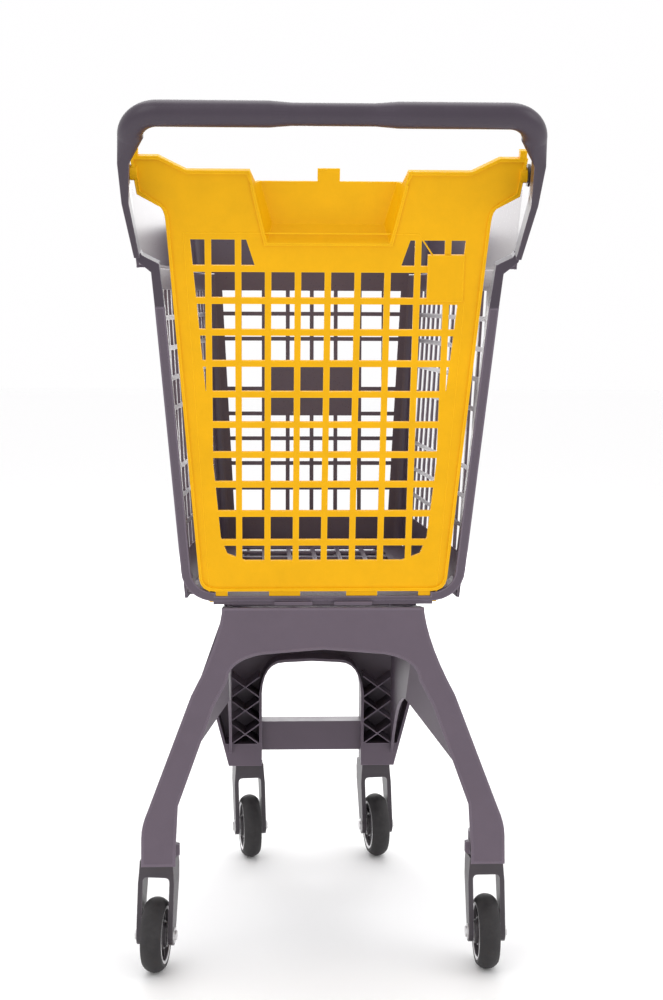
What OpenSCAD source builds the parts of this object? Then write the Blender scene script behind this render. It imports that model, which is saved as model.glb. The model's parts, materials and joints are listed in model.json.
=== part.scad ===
// Plastic shopping trolley: a perforated basket with a swinging rear flap,
// on a splayed four-legged base with swivel casters.
// +X is to the right seen from the handle, +Y is the travel direction, +Z is up.

/* [Casters] */
// Wheel diameter over the tyre
wheel_d = 94; // [80:1:120]
// Width of the tyre
tyre_w = 26; // [20:1:28]
// Radial thickness of the tyre
tyre_t = 11; // [7:0.5:14]
// Distance from the swivel axis back to the axle
trail = 24; // [18:1:40]
// Gap between the fork arms
fork_gap = 34; // [31:0.5:38]
// Thickness of one fork arm
fork_arm_t = 6.2; // [4:0.1:8]
// Diameter of the fork crown
crown_d = 42; // [40:0.5:50]
// Height of the fork crown
crown_h = 21.5; // [16:0.5:30]
// Diameter of the kingpin
kingpin_d = 14; // [10:0.5:16]
// Height of the swivel bearing
bearing_h = 26; // [18:1:32]
// Diameter of the axle
axle_d = 8; // [6:0.5:10]
// Radial running clearance of the kingpins and axles
running_gap = 0.05; // [0.02:0.01:0.1]

/* [Base] */
// Distance between the rear and the front swivel axes
wheelbase = 468; // [400:1:580]
// Distance between the two rear swivel axes
rear_track = 415; // [380:1:500]
// Distance of the rear swivel axes ahead of the rear legs' middle
rear_set = 18; // [0:1:20]
// Distance between the two front swivel axes
front_track = 192; // [170:1:240]
// Height of the legs' undersides above the ground
neck_z = 142; // [130:1:155]
// Height from the legs' undersides to the top of the base
base_h = 322; // [270:1:400]
// Width of the base at its top
base_top_w = 254; // [230:1:290]
// Height of the rear skirt at the centre
rear_skirt_h = 52; // [40:1:70]
// Width of one rear leg
leg_w = 42; // [38:1:52]
// Depth of one rear leg
leg_depth = 64; // [56:1:72]
// Wall thickness of the base
base_wall = 4; // [3:0.5:6]
// Height of the crossbar between the front legs
crossbar_h = 44; // [30:1:60]

/* [Basket] */
// Distance from the top of the base to the basket's floor
floor_rise = 14; // [10:1:24]
// Height of the tub from its floor to the ledge
tub_h = 408; // [330:1:500]
// Half width of the tub's floor above the rear swivel axes
tub_half_w = 178; // [165:1:190]
// Sideways flare of the tub for each millimetre of height
tub_flare = 0.053; // [0.03:0.001:0.08]
// Narrowing of each side for each millimetre towards the front
plan_taper = 0.083; // [0.05:0.001:0.1]
// Forward lean of the front wall for each millimetre of height
front_flare = 0.035; // [0:0.005:0.06]
// Distance of the front wall's foot ahead of the front swivel axes
front_overhang = 2; // [-4:1:30]
// Width of the ledge between the tub and the collar
ledge_w = 19; // [12:1:26]
// Height of the collar above the ledge
collar_h = 76; // [50:1:110]
// Sideways flare of the collar for each millimetre of height
collar_flare = 0.1; // [0.04:0.005:0.14]
// Thickness of the basket's walls
wall = 3.5; // [2.5:0.5:5]
// Spacing of the grid's vertical bars
grid_x = 35.9; // [28:0.1:44]
// Spacing of the grid's rails
grid_z = 37.3; // [30:0.1:44]
// Width of the grid's bars
grid_bar = 6; // [4:0.5:9]
// Width of the rim round the rear opening
rim_w = 11.5; // [9:0.5:14]
// Depth of the rim round the rear opening
rim_depth = 16; // [12:1:24]
// Outer radius of the rim's lower corners
rim_corner_r = 40; // [25:1:55]

/* [Handle] */
// Width over the handle's arms
handle_w = 472; // [450:1:480]
// Diameter of the handle bar
bar_d = 29; // [24:1:34]
// Diameter of the handle bar at its middle
bar_waist_d = 25; // [22:1:28]
// Length of the slimmer middle of the bar
bar_waist_l = 90; // [60:1:200]
// Height of the bar's axis above the ledge
handle_rise = 159.5; // [140:0.5:220]
// Distance of the bar's axis behind the rim at the ledge
handle_back = 139; // [110:1:170]
// Centreline radius of the handle's corners
handle_corner_r = 30; // [22:1:50]

/* [Rear flap] */
// Lean of the rear opening and the flap from upright, in degrees
rear_lean = 15.2; // [8:0.1:20]
// Thickness of the flap's panel
flap_t = 4; // [3:0.5:6]
// Depth of the flap's edge
flap_edge = 12; // [8:1:14]
// Width of the flap's bottom edge
flap_bottom_w = 308; // [280:1:310]
// Width of the flap below its shoulders
flap_top_w = 380; // [350:1:384]
// Height of the hinge axis above the ledge
hinge_rise = 104; // [90:1:115]
// Spacing of the flap's vertical bars
flap_grid_x = 35.1; // [30:0.1:40]
// Spacing of the flap's horizontal bars along the panel
flap_grid_s = 38.7; // [32:0.1:44]
// Width of the flap's bars
flap_bar = 7.6; // [5:0.1:10]
// Diameter of the hinge pins
pin_d = 10; // [8:0.5:14]

/* [Hidden] */
$fn = 48;
dark = [0.36, 0.32, 0.37];
dark_grey = [0.28, 0.27, 0.28];
black = [0.12, 0.1, 0.13];
yellow = [0.98, 0.74, 0.07];
steel = [0.72, 0.72, 0.74];

// Gap between neighbouring bodies and between panels that only lie side by side
body_gap = 0.5;
seat_gap = 0.2;
// Farther than anything in the design reaches
far = 800;

deck_z = neck_z + base_h;
floor_z = deck_z + floor_rise;
ledge_z = floor_z + tub_h;
collar_z = ledge_z + collar_h;
bar_z = ledge_z + handle_rise;
hinge_z = ledge_z + hinge_rise;

// The rear opening's plane leans back: y falls as z rises
rear_slope = tan(rear_lean);
rim_foot_y = 20;
function rim_y(z) = rim_foot_y - rear_slope * (z - floor_z);
front_axis_y = rear_set + wheelbase;
front_y = front_axis_y + front_overhang;
function front_wall_y(z) = front_y + front_flare * (z - floor_z);
function tub_x(y, z) = tub_half_w + tub_flare * (z - floor_z) - plan_taper * y;
function collar_x(y, z) = tub_x(y, ledge_z) + ledge_w + collar_flare * (z - ledge_z);

bar_y = rim_y(ledge_z) - handle_back;
hinge_y = rim_y(hinge_z) + flap_edge / 2;

// The collar's sides turn parallel to the travel direction behind this line
wall_inset = rim_depth + 2;
cheek_y = rim_y(ledge_z) + wall_inset;
front_most = front_wall_y(ledge_z) + ledge_w + collar_flare * collar_h;
rear_most = bar_y - bar_d / 2;
y_mid = (front_most + rear_most) / 2;

// Each caster: its name, swivel axis and resting swivel angle
CASTERS = [
    ["rear_left", [-rear_track / 2, rear_set], -8],
    ["rear_right", [rear_track / 2, rear_set], 1],
    ["front_left", [-front_track / 2, front_axis_y], 7],
    ["front_right", [front_track / 2, front_axis_y], 8]
];

ROOT_NODES = [
    "base_rear_frame", "base_front_frame", "base_left_skirt", "base_right_skirt",
    "base_deck", "base_crossbar", "basket_clips", "basket_floor", "basket_left_wall",
    "basket_right_wall", "basket_front_wall", "basket_rear_rim", "handle_frame",
    "left_hinge_socket", "right_hinge_socket"
];
FLAP_NODES = ["rear_flap", "left_hinge_pin", "right_hinge_pin"];
CASTER_PARTS = [
    "swivel_bearing", "fork", "kingpin", "axle_bolt", "wheel_bearings", "wheel_hub", "tyre"
];

// ---------- helpers ----------

// Points of a quadratic curve from a to c, drawn towards b
function curve(a, b, c, n = 6) =
    [for (i = [0:n]) let (t = i / n) (1 - t) * (1 - t) * a + 2 * t * (1 - t) * b + t * t * c];

// Points on a circle of radius r about the origin
function arc(r, from, to, n) = [for (i = [0:n]) let (a = from + (to - from) * i / n) r * [cos(a), sin(a)]];

// The points followed by their mirror images, to close an outline
function mirrored(points) =
    concat(points, [for (i = [len(points) - 1:-1:0]) [-points[i][0], points[i][1]]]);

// Moves the design from the rear swivel axes to the middle of the whole trolley
module placed() {
    translate([0, -y_mid, 0]) children();
}

// Both sides of a part that is drawn for +X
module both_sides() {
    children();
    mirror([1, 0, 0]) children();
}

module on_side(side) {
    if (side > 0) children();
    else mirror([1, 0, 0]) children();
}

// Stands a drawing (x along Y, y up) on a plane whose x falls by taper per
// millimetre of Y and grows by flare per millimetre of Z, with its origin at p
module side_plane(p, taper, flare) {
    yaw = atan(taper);
    translate(p) rotate([0, 0, yaw]) rotate([0, atan(flare * cos(yaw)), 0])
        rotate([90, 0, 90]) children();
}

// Stands a drawing (x along X, y up) across the trolley, leaning by lean
// degrees towards -Y, with its origin at p and its thickness towards +Y
module cross_plane(p, lean) {
    translate(p) rotate([lean, 0, 0]) rotate([90, 0, 0]) mirror([0, 0, 1]) children();
}

// Keeps what lies between two heights
module between(low, high) {
    intersection() {
        children();
        translate([-far, -far, low]) cube([2 * far, 3 * far, high - low]);
    }
}

// ---------- base ----------

rear_lean_leg = 7.6;
base_half = base_top_w / 2;
leg_out = rear_track / 2 + leg_w / 2 - 1;
knee_z = 59;
rear_face_y = -28;
// The leaning legs are drawn this far past their undersides and cut level
below = 60;

// Outline of the rear frame for +X; inset shrinks the drawn border
function rear_outer(inset) = concat(
    [[0, base_h - inset], [base_half - inset, base_h - inset]],
    curve(
        [base_half - inset, base_h - 6], [base_half + 6 - inset, base_h - 50],
        [leg_out - 62 - inset, base_h - 110]
    ),
    curve(
        [leg_out - 8 - inset, knee_z + 10], [leg_out - inset, knee_z - 8],
        [leg_out - inset, knee_z - 24], 4
    ),
    [[leg_out - inset, -below]]
);
function rear_inner(inset) = concat(
    [[leg_out - leg_w + inset, -below], [leg_out - leg_w + inset, 17]],
    curve(
        [leg_out - leg_w - 3 + inset, knee_z + 16], [base_half - 3 + inset, base_h - 78],
        [base_half - 6 + inset, base_h - 92], 2
    ),
    curve(
        [base_half - 8 + inset, base_h - 82],
        [base_half - 16 + inset, base_h - rear_skirt_h - 12 + inset],
        [base_half - 50, base_h - rear_skirt_h - 6 + inset]
    ),
    [[0, base_h - rear_skirt_h + inset]]
);

module rear_frame_shape(inset) {
    polygon(mirrored(concat(rear_outer(inset), rear_inner(-inset))));
}

module rear_frame_plane() {
    cross_plane([0, rear_face_y, neck_z], -rear_lean_leg) children();
}

module leg_socket(x, y) {
    translate([x, y, neck_z]) cylinder(h = bearing_h + base_wall, d = crown_d);
}

module swivel_bore(x, y) {
    translate([x, y, neck_z - 1]) cylinder(h = bearing_h + 1, d = crown_d - 2 * base_wall);
}

module base_rear_frame() {
    color(dark) placed() difference() {
        union() {
            between(neck_z, deck_z) rear_frame_plane() difference() {
                linear_extrude(leg_depth) rear_frame_shape(0);
                translate([0, 0, base_wall]) linear_extrude(leg_depth) rear_frame_shape(base_wall);
            }
            both_sides() leg_socket(rear_track / 2, rear_set);
        }
        both_sides() swivel_bore(rear_track / 2, rear_set);
    }
}

front_leg_in = front_track / 2 - crown_d / 2;
front_leg_out = front_track / 2 + 29;
front_flare_x = front_leg_out + 26;
front_arch_h = 159;
front_leg_depth = 52;
front_face_y = front_axis_y - 32;

module front_frame_shape(inset) {
    polygon(mirrored(concat(
        [
            [0, base_h - inset], [base_half - 10 - inset, base_h - inset],
            [base_half - 8 - inset, base_h - 60]
        ],
        curve(
            [base_half + 8 - inset, base_h - 130], [front_flare_x - inset, 161],
            [front_flare_x - inset, 101], 5
        ),
        [[front_leg_out - inset, 0], [front_leg_in + inset, 0], [front_leg_in + inset, 101]],
        curve(
            [front_leg_in + inset, 111], [front_leg_in - 2, front_arch_h + inset],
            [front_leg_in - 34, front_arch_h + inset], 6
        ),
        [[0, front_arch_h + 2 + inset]]
    )));
}

// Crossed stiffening ribs inside one front leg
module leg_ribs() {
    bay = 36;
    reach = front_leg_out - front_leg_in;
    for (i = [0:2])
        translate([front_leg_in + reach / 2, 49 + bay * i])
            for (a = [-1, 1]) rotate(a * 36) square([reach + 4, 1.8], center = true);
}

module base_front_frame() {
    color(dark) placed() difference() {
        union() {
            cross_plane([0, front_face_y, neck_z], 0) difference() {
                linear_extrude(front_leg_depth) front_frame_shape(0);
                translate([0, 0, -1]) linear_extrude(front_leg_depth + 1 - base_wall)
                    difference() {
                        front_frame_shape(base_wall);
                        both_sides() intersection() {
                            front_frame_shape(0);
                            union() {
                                leg_ribs();
                                translate([front_leg_in, 0]) square([100, bearing_h + 8]);
                            }
                        }
                    }
            }
            both_sides() leg_socket(front_track / 2, front_axis_y);
        }
        both_sides() swivel_bore(front_track / 2, front_axis_y);
    }
}

module base_crossbar() {
    reach = front_leg_in - seat_gap;
    z0 = neck_z + 22;
    bar_depth = 30;
    bar_back = front_axis_y - 6 - bar_depth / 2;
    pitch = 2 * reach / 5;
    rib = 2.4;
    color(dark) placed() difference() {
        translate([-reach, bar_back, z0]) cube([2 * reach, bar_depth, crossbar_h]);
        for (i = [-2:2])
            translate([(i - 0.5) * pitch + rib / 2, bar_back + base_wall, z0 - 1])
                cube([pitch - rib, bar_depth - 2 * base_wall, crossbar_h + 1 - base_wall]);
    }
}

// Each side skirt is a front web under the deck's edge and a rear web that
// spreads out to the rear leg; they meet at the top of the side arch
skirt_x = base_half - 7;
arch_y = front_axis_y * 0.4;
arch_z = neck_z + base_h / 2;
function web_end_y(z) =
    rear_face_y + (leg_depth + 1) / cos(rear_lean_leg) + (z - neck_z) * tan(rear_lean_leg);

module web(corners) {
    hull() for (p = corners) translate(p) cube([base_wall, 0.5, base_wall]);
}

module base_skirt(side) {
    top = deck_z - base_wall - seat_gap;
    web_front = front_face_y - seat_gap;
    apex = [skirt_x, arch_y, arch_z];
    apex_top = [skirt_x, arch_y, top - base_wall];
    rear_top_z = deck_z - rear_skirt_h / 2;
    rear_foot_z = neck_z + knee_z + 6;
    rear_top = [base_half - base_wall, web_end_y(rear_top_z + base_wall), rear_top_z];
    rear_foot = [leg_out - 22, web_end_y(rear_foot_z + base_wall), rear_foot_z];
    color(dark) placed() on_side(side) {
        translate([skirt_x, 0, 0]) rotate([90, 0, 90]) linear_extrude(base_wall) polygon(concat(
            [[arch_y, top], [arch_y, arch_z]],
            curve([arch_y + 20, arch_z - 4], [front_face_y - 90, arch_z - 30], [web_front, neck_z + 20]),
            [[web_front, top]]
        ));
        web([apex, rear_foot, rear_top]);
        web([apex, rear_top, apex_top]);
    }
}

deck_back = rim_foot_y + 4;

module base_deck() {
    deck_front = front_y - 6;
    margin = 16;
    bays_y = 4;
    bays_x = 3;
    rib = 5;
    bay_l = (deck_front - deck_back - 2 * margin + rib) / bays_y;
    bay_w = (base_top_w - 2 * margin - 20 + rib) / bays_x;
    color(dark) placed() translate([0, 0, deck_z + seat_gap]) linear_extrude(base_wall) difference() {
        polygon([
            [-base_half - 11, deck_back], [base_half + 11, deck_back],
            [base_half - 6, deck_front], [-base_half + 6, deck_front]
        ]);
        for (i = [0:bays_y - 1])
            for (j = [0:bays_x - 1])
                translate([(j - bays_x / 2) * bay_w + rib / 2, deck_back + margin + i * bay_l])
                    square([bay_w - rib, bay_l - rib]);
    }
}

// ---------- basket ----------

floor_back = rim_foot_y + rim_depth + 5;
floor_front = front_y - wall - 1;

module basket_floor() {
    slot_pitch = 50;
    margin = 10;
    rows = floor((floor_front - floor_back - 2 * margin) / slot_pitch);
    first = floor_back + 14;
    half_back = tub_x(floor_back, floor_z) - wall - 1;
    half_front = tub_x(floor_front, floor_z) - wall - 1;
    columns = floor((half_front - margin + 1) / grid_x);
    runner_z = deck_z + base_wall + 2 * seat_gap;
    color(dark) placed() {
        translate([0, 0, floor_z - wall]) linear_extrude(wall) difference() {
            polygon([
                [-half_back, floor_back], [half_back, floor_back],
                [half_front, floor_front], [-half_front, floor_front]
            ]);
            for (i = [0:rows - 1])
                for (j = [-columns:columns - 1])
                    translate([j * grid_x + grid_bar / 2, first + i * slot_pitch])
                        square([grid_x - grid_bar, slot_pitch - 2.2 * grid_bar]);
        }
        // Two runners carry the floor on the deck
        both_sides() translate([base_half - 34, floor_back + margin, runner_z])
            cube([4, floor_front - floor_back - 2 * margin, floor_z - wall - runner_z]);
    }
}

module basket_clips() {
    clip_w = 47;
    clip_l = 6;
    color(dark) placed() both_sides()
        translate([14, deck_back - clip_l - seat_gap, deck_z + seat_gap])
            cube([clip_w, clip_l, base_wall]);
}

// Rows of the side and front grids, from the floor up, as [low, high] heights
// above the floor; the row numbered tall takes in the next one
row_foot = 47;
row_head = 24;
row_count = floor((tub_h - row_foot - row_head) / grid_z);
function row(i) = [row_foot + i * grid_z + grid_bar / 2, row_foot + (i + 1) * grid_z - grid_bar / 2];
function grid_rows(tall) =
    [for (i = [0:row_count - 1]) if (i != tall + 1) i == tall ? [row(i)[0], row(i + 1)[1]] : row(i)];
side_tall_row = 3;
front_tall_row = 5;

corner_post = 32;
post_r = 15;
collar_r = 15;
collar_front = front_wall_y(ledge_z) + ledge_w;

// Where the cheek meets the arm's front face, at a height above the ledge
cheek_head = hinge_rise + 18;
function cheek_back(h) = arm_front_y(ledge_z + h) + 2 * seat_gap - cheek_y;
function rim_front(h) = rim_y(ledge_z + h) + rim_depth / cos(rear_lean) + seat_gap - cheek_y;

module basket_side_wall(side) {
    yaw = atan(plan_taper);
    stretch = 1 / cos(yaw);
    foot_y = rim_foot_y + wall_inset;
    length = (front_y - corner_post - foot_y) * stretch;
    top = tub_h - wall;
    drop = rear_slope * top;
    columns = floor((length - 24) / grid_x);
    first = length - 14 - columns * grid_x;
    ledge_front = front_wall_y(ledge_z) - wall - seat_gap;
    collar_len = (collar_front - 2 * collar_r - 1 - cheek_y) * stretch;
    cheek_top = collar_h + 14;
    color(dark) placed() on_side(side) {
        side_plane([tub_x(foot_y, floor_z) - wall, foot_y, floor_z], plan_taper, tub_flare)
            linear_extrude(wall) difference() {
                polygon([[8 * rear_slope, -8], [length, -8], [length, top], [-drop, top]]);
                for (i = [-floor(drop / grid_x):columns - 1])
                    for (r = grid_rows(side_tall_row))
                        if (first + i * grid_x > -rear_slope * r[0] + 6)
                            translate([first + i * grid_x + grid_bar / 2, r[0]])
                                square([grid_x - grid_bar, r[1] - r[0]]);
            }
        // Ledge
        translate([0, 0, ledge_z - wall]) linear_extrude(wall) polygon([
            [tub_x(cheek_y, ledge_z) - wall, cheek_y],
            [tub_x(cheek_y, ledge_z) + ledge_w, cheek_y],
            [tub_x(ledge_front, ledge_z) + ledge_w, ledge_front],
            [tub_x(ledge_front, ledge_z) - wall, ledge_front]
        ]);
        side_plane([collar_x(cheek_y, ledge_z) - wall, cheek_y, ledge_z], plan_taper, collar_flare)
            linear_extrude(wall) polygon(concat(
                [[0, -wall], [collar_len, -wall], [collar_len, collar_h]],
                curve([collar_len * 0.55, collar_h + 2], [collar_len * 0.15, collar_h + 4], [0, cheek_top])
            ));
        // The cheek carries the hinge and rises to the handle's arm
        difference() {
            side_plane([collar_x(cheek_y, ledge_z) - wall, cheek_y, ledge_z], 0, collar_flare)
                linear_extrude(wall) polygon(concat(
                    [[1, -wall], [1, cheek_top]],
                    curve(
                        [0, cheek_top], [-40, cheek_top + 10],
                        [cheek_back(cheek_head) + 8, cheek_head + 3], 4
                    ),
                    [[cheek_back(cheek_head), cheek_head], [cheek_back(24), 24], [rim_front(20), 20]]
                ));
            on_hinge(ear_x) cylinder(h = 20, d = bush_d);
        }
    }
}

module front_outline(half, low, high, flare) {
    half_top = half + flare * (high - low);
    polygon([[-half, low], [half, low], [half_top, high], [-half_top, high]]);
}

// A leaning quarter-round wall whose middle stands at p, for the +X side; its
// faces lie a hair inside the faces of the flat walls it joins
module corner(p, r, h, flare_x, flare_y) {
    steps = 6;
    hair = 0.15;
    extra = 4;
    between(p[2], p[2] + h) translate(p) rotate([-atan(flare_y), atan(flare_x), 0])
        translate([0, 0, -extra]) linear_extrude(h + 2 * extra)
            polygon(concat(arc(r - hair, 0, 90, steps), arc(r - wall + hair, 90, 0, steps)));
}

// A short length of side wall that ends on a quarter-round corner
module corner_return(length, low, high, flare_end) {
    end = length / cos(atan(plan_taper)) + 0.4;
    linear_extrude(wall)
        polygon([[seat_gap, low], [end, low], [end + flare_end * high, high], [seat_gap, high]]);
}

module basket_front_wall() {
    half = tub_x(front_y, floor_z);
    lean = -atan(front_flare);
    cut_half = 55;
    grid_margin = 24;
    sign_half = 2;
    sign_low = row(front_tall_row - 1)[0];
    columns = ceil((half - grid_margin) / grid_x);
    tub_y = front_y - post_r;
    tub_mid = tub_x(tub_y, floor_z) - post_r;
    tub_top = tub_h - wall - 1;
    back = front_y - corner_post;
    collar_y = collar_front - collar_r;
    collar_mid = collar_x(collar_y, ledge_z) - collar_r;
    collar_back = collar_y - collar_r - 1;
    collar_drop = wall * collar_flare;
    ledge_back = front_wall_y(ledge_z) - wall;
    ledge_lip = collar_mid + collar_r - 0.5;
    ledge_front = collar_front - 0.5;
    color(dark) placed() {
        cross_plane([0, front_y - wall, floor_z], lean) linear_extrude(wall) difference() {
            front_outline(tub_mid + 0.4, 0, tub_h, tub_flare);
            intersection() {
                front_outline(half - grid_margin, 0, tub_h, tub_flare);
                for (j = [-columns:columns - 1])
                    for (r = grid_rows(front_tall_row))
                        translate([j * grid_x + grid_bar / 2, r[0]])
                            square([grid_x - grid_bar, r[1] - r[0]]);
            }
        }
        // Solid sign panel across the middle of the grid
        cross_plane([0, front_y - wall, floor_z], lean)
            translate([-sign_half * grid_x, sign_low - 1, 0])
                cube([2 * sign_half * grid_x, row(front_tall_row + 1)[0] - sign_low, wall]);
        both_sides() side_plane([tub_x(back, floor_z) - wall, back, floor_z], plan_taper, tub_flare)
            corner_return(corner_post - post_r, 0.5, tub_top, front_flare);
        both_sides() corner([tub_mid, tub_y, floor_z], post_r, tub_top, tub_flare, front_flare);
        both_sides() corner(
            [collar_mid - collar_drop, collar_y - collar_drop, ledge_z - wall],
            collar_r, collar_h + wall, collar_flare, collar_flare
        );
        both_sides() side_plane(
            [collar_x(collar_back, ledge_z) - wall, collar_back, ledge_z], plan_taper, collar_flare
        ) corner_return(collar_r + 1, seat_gap + collar_drop, collar_h, collar_flare);
        // Ledge and collar, notched at the middle
        difference() {
            union() {
                translate([0, 0, ledge_z - wall]) linear_extrude(wall) polygon(mirrored(concat(
                    [[0, ledge_back], [collar_x(ledge_back, ledge_z) - 1, ledge_back]],
                    curve([ledge_lip, collar_y], [ledge_lip, ledge_front], [collar_mid, ledge_front]),
                    [[0, ledge_front]]
                )));
                cross_plane([0, collar_front - wall, ledge_z - 0.5], -atan(collar_flare))
                    linear_extrude(wall) front_outline(collar_mid + 0.4, 0, collar_h, collar_flare);
            }
            translate([-cut_half, back, ledge_z - 10])
                cube([2 * cut_half, 4 * corner_post, collar_h + 40]);
        }
    }
}

seam_z = ledge_z - 50;
rim_foot_z = deck_z + base_wall + 2 * seat_gap;
function rim_s(z) = (z - rim_foot_z) / cos(rear_lean);
function rim_half(z) = tub_x(rim_y(z), z);
arc_steps = 8;

// Outline of the rim in the plane of the rear opening, up to the height top
function rim_outline(inset, top) = mirrored(concat(
    [[rim_half(top) - inset, rim_s(top)]],
    [for (i = [0:arc_steps]) let (a = -90 * i / arc_steps)
        [rim_half(rim_foot_z) - rim_corner_r + 2 * (1 - i / arc_steps) + (rim_corner_r - inset) * cos(a),
         rim_corner_r + (rim_corner_r - inset) * sin(a)]]
));

module rear_plane(z) {
    cross_plane([0, rim_y(z), z], rear_lean) children();
}

module basket_rear_rim() {
    rail_h = 6.5;
    rail_half = rim_half(rim_foot_z) - rim_corner_r;
    color(dark) placed() rear_plane(rim_foot_z) difference() {
        linear_extrude(rim_depth) polygon(rim_outline(0, seam_z));
        translate([0, 0, -1]) linear_extrude(rim_depth + 2) {
            polygon(rim_outline(rim_w, seam_z + 20));
            translate([-rail_half, rail_h]) square([2 * rail_half, rim_corner_r]);
        }
    }
}

// ---------- handle ----------

arm_lean = atan((rim_y(ledge_z + 10) - bar_y) / (bar_z - ledge_z - 10));
arm_l = (bar_z - ledge_z - 10) / cos(arm_lean);
arm_out = handle_w / 2;
function arm_front_y(z) = bar_y + (bar_z - z) * tan(arm_lean) + 0.5 * bar_d / cos(arm_lean);
kink_out = collar_x(rim_y(ledge_z), ledge_z) - 0.5;

module arm_section(out, thickness, s, depth) {
    translate([out - thickness, s, -depth / 2]) cube([thickness, 0.5, depth]);
}

module handle_arm() {
    hull() {
        translate([arm_out - bar_d / 2, -handle_corner_r, 0]) rotate([90, 0, 0])
            cylinder(h = 1, d = bar_d, $fn = 32);
        arm_section(arm_out + 1, 13, -0.29 * arm_l, 0.9 * bar_d);
    }
    hull() {
        arm_section(arm_out + 1, 13, -0.29 * arm_l, 0.9 * bar_d);
        arm_section(arm_out - 0.5, 8, -0.58 * arm_l, 20);
    }
    hull() {
        arm_section(arm_out - 0.5, 8, -0.58 * arm_l, 20);
        arm_section(kink_out, 6.5, -arm_l + 3, rim_depth);
    }
}

module handle_bar() {
    reach = arm_out - bar_d / 2 - handle_corner_r;
    blend_l = 25;
    rotate([0, 90, 0]) {
        cylinder(h = bar_waist_l, d = bar_waist_d, center = true);
        for (s = [0, 1]) mirror([0, 0, s]) translate([0, 0, bar_waist_l / 2]) {
            cylinder(h = blend_l, d1 = bar_waist_d, d2 = bar_d);
            translate([0, 0, blend_l])
                cylinder(h = reach - bar_waist_l / 2 - blend_l, d = bar_d);
        }
    }
    both_sides() translate([reach, -handle_corner_r, 0])
        rotate_extrude(angle = 90) translate([handle_corner_r, 0]) circle(d = bar_d);
}

module handle_frame() {
    tub_top = rim_half(ledge_z - 3);
    color(dark) placed() {
        cross_plane([0, bar_y, bar_z], arm_lean) {
            handle_bar();
            both_sides() handle_arm();
        }
        both_sides() rear_plane(seam_z + seat_gap) linear_extrude(rim_depth) {
            polygon([
                [rim_half(seam_z), 0], [tub_top, 42], [kink_out - 2, 56], [kink_out, 64],
                [kink_out - 6.5, 66], [kink_out - 9, 62], [tub_top - rim_w + 2, 52],
                [rim_half(seam_z) - rim_w, 0]
            ]);
        }
    }
}

// ---------- flap and hinges ----------

ear_x = collar_x(cheek_y, hinge_z) - wall - 3.2;
socket_d = 26;
bush_d = pin_d + 8;
pin_reach = 6;
flap_s = (hinge_z - floor_z - 5) / cos(rear_lean);
flap_lip = 4;
pocket_depth = 18;
pocket_wall = 3.5;
pocket_top_w = 183;
pocket_foot_w = 143;
pocket_draft = 6;
pocket_floor_s = -80;
ear_top_s = 29;
ear_t = 8;
shoulder_s = -43;
panel_in = 2;
plate_x = 117;
plate_s = -150;
plate_w = 43;
plate_h = 56;
plate_rise = 1.4;

// Outline of the flap about the hinge axis; inset shrinks it
function flap_outline(inset) =
    let (foot_half = flap_bottom_w / 2 - inset, top_half = flap_top_w / 2 - inset, r = 18)
    let (throat = pocket_top_w / 2 + inset, foot = -flap_s + inset)
    mirrored(concat(
        [[0, -12 - inset], [throat - 7, -12 - inset], [throat, 4 - inset]],
        [[ear_x - 64, 4 - inset], [ear_x - 32, 20 - inset]],
        [[ear_x - inset, 20 - inset], [ear_x - 7 - inset, -24 + inset]],
        curve([ear_x - 34, -39 + inset], [top_half, shoulder_s + inset], [top_half - 1, shoulder_s - 12], 3),
        curve([foot_half + 1.5, -flap_s + r], [foot_half, foot], [foot_half - r, foot], 4)
    ));

module flap_cells() {
    head = -76.7;
    first = -111.6;
    rows = floor((flap_s + first) / flap_grid_s);
    foot = -flap_s + 41;
    half_bar = flap_bar / 2;
    intersection() {
        polygon(mirrored([
            [flap_top_w / 2 - 29, head], [flap_bottom_w / 2 - 26, -flap_s + 72],
            [flap_bottom_w / 2 - 34, -flap_s + 50], [flap_bottom_w / 2 - 56, foot]
        ]));
        for (j = [-5:4])
            for (k = [0:rows]) {
                low = max(first - k * flap_grid_s + half_bar, foot);
                high = k == 0 ? head : first - (k - 1) * flap_grid_s - half_bar;
                translate([j * flap_grid_x + half_bar, low]) square([flap_grid_x - flap_bar, high - low]);
            }
    }
}

module flap_pocket(grow) {
    top = 40;
    half_top = pocket_top_w / 2 + 9 + grow;
    half_foot = pocket_foot_w / 2 + grow;
    foot = pocket_floor_s - grow;
    hull() {
        translate([0, 0, -panel_in - 1]) linear_extrude(1)
            polygon(mirrored([[half_top, top], [half_foot, foot]]));
        translate([0, 0, pocket_depth]) linear_extrude(grow + 0.01)
            polygon(mirrored([
                [half_top - pocket_draft, top], [half_foot - pocket_draft, foot + pocket_depth]
            ]));
    }
}

// Lays a part along +X on the hinge axis, starting at x
module on_hinge(x) {
    translate([x, hinge_y, hinge_z]) rotate([0, 90, 0]) children();
}

module flap_plane() {
    cross_plane([0, hinge_y, hinge_z], rear_lean) translate([0, 0, -flap_edge / 2]) children();
}

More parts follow.
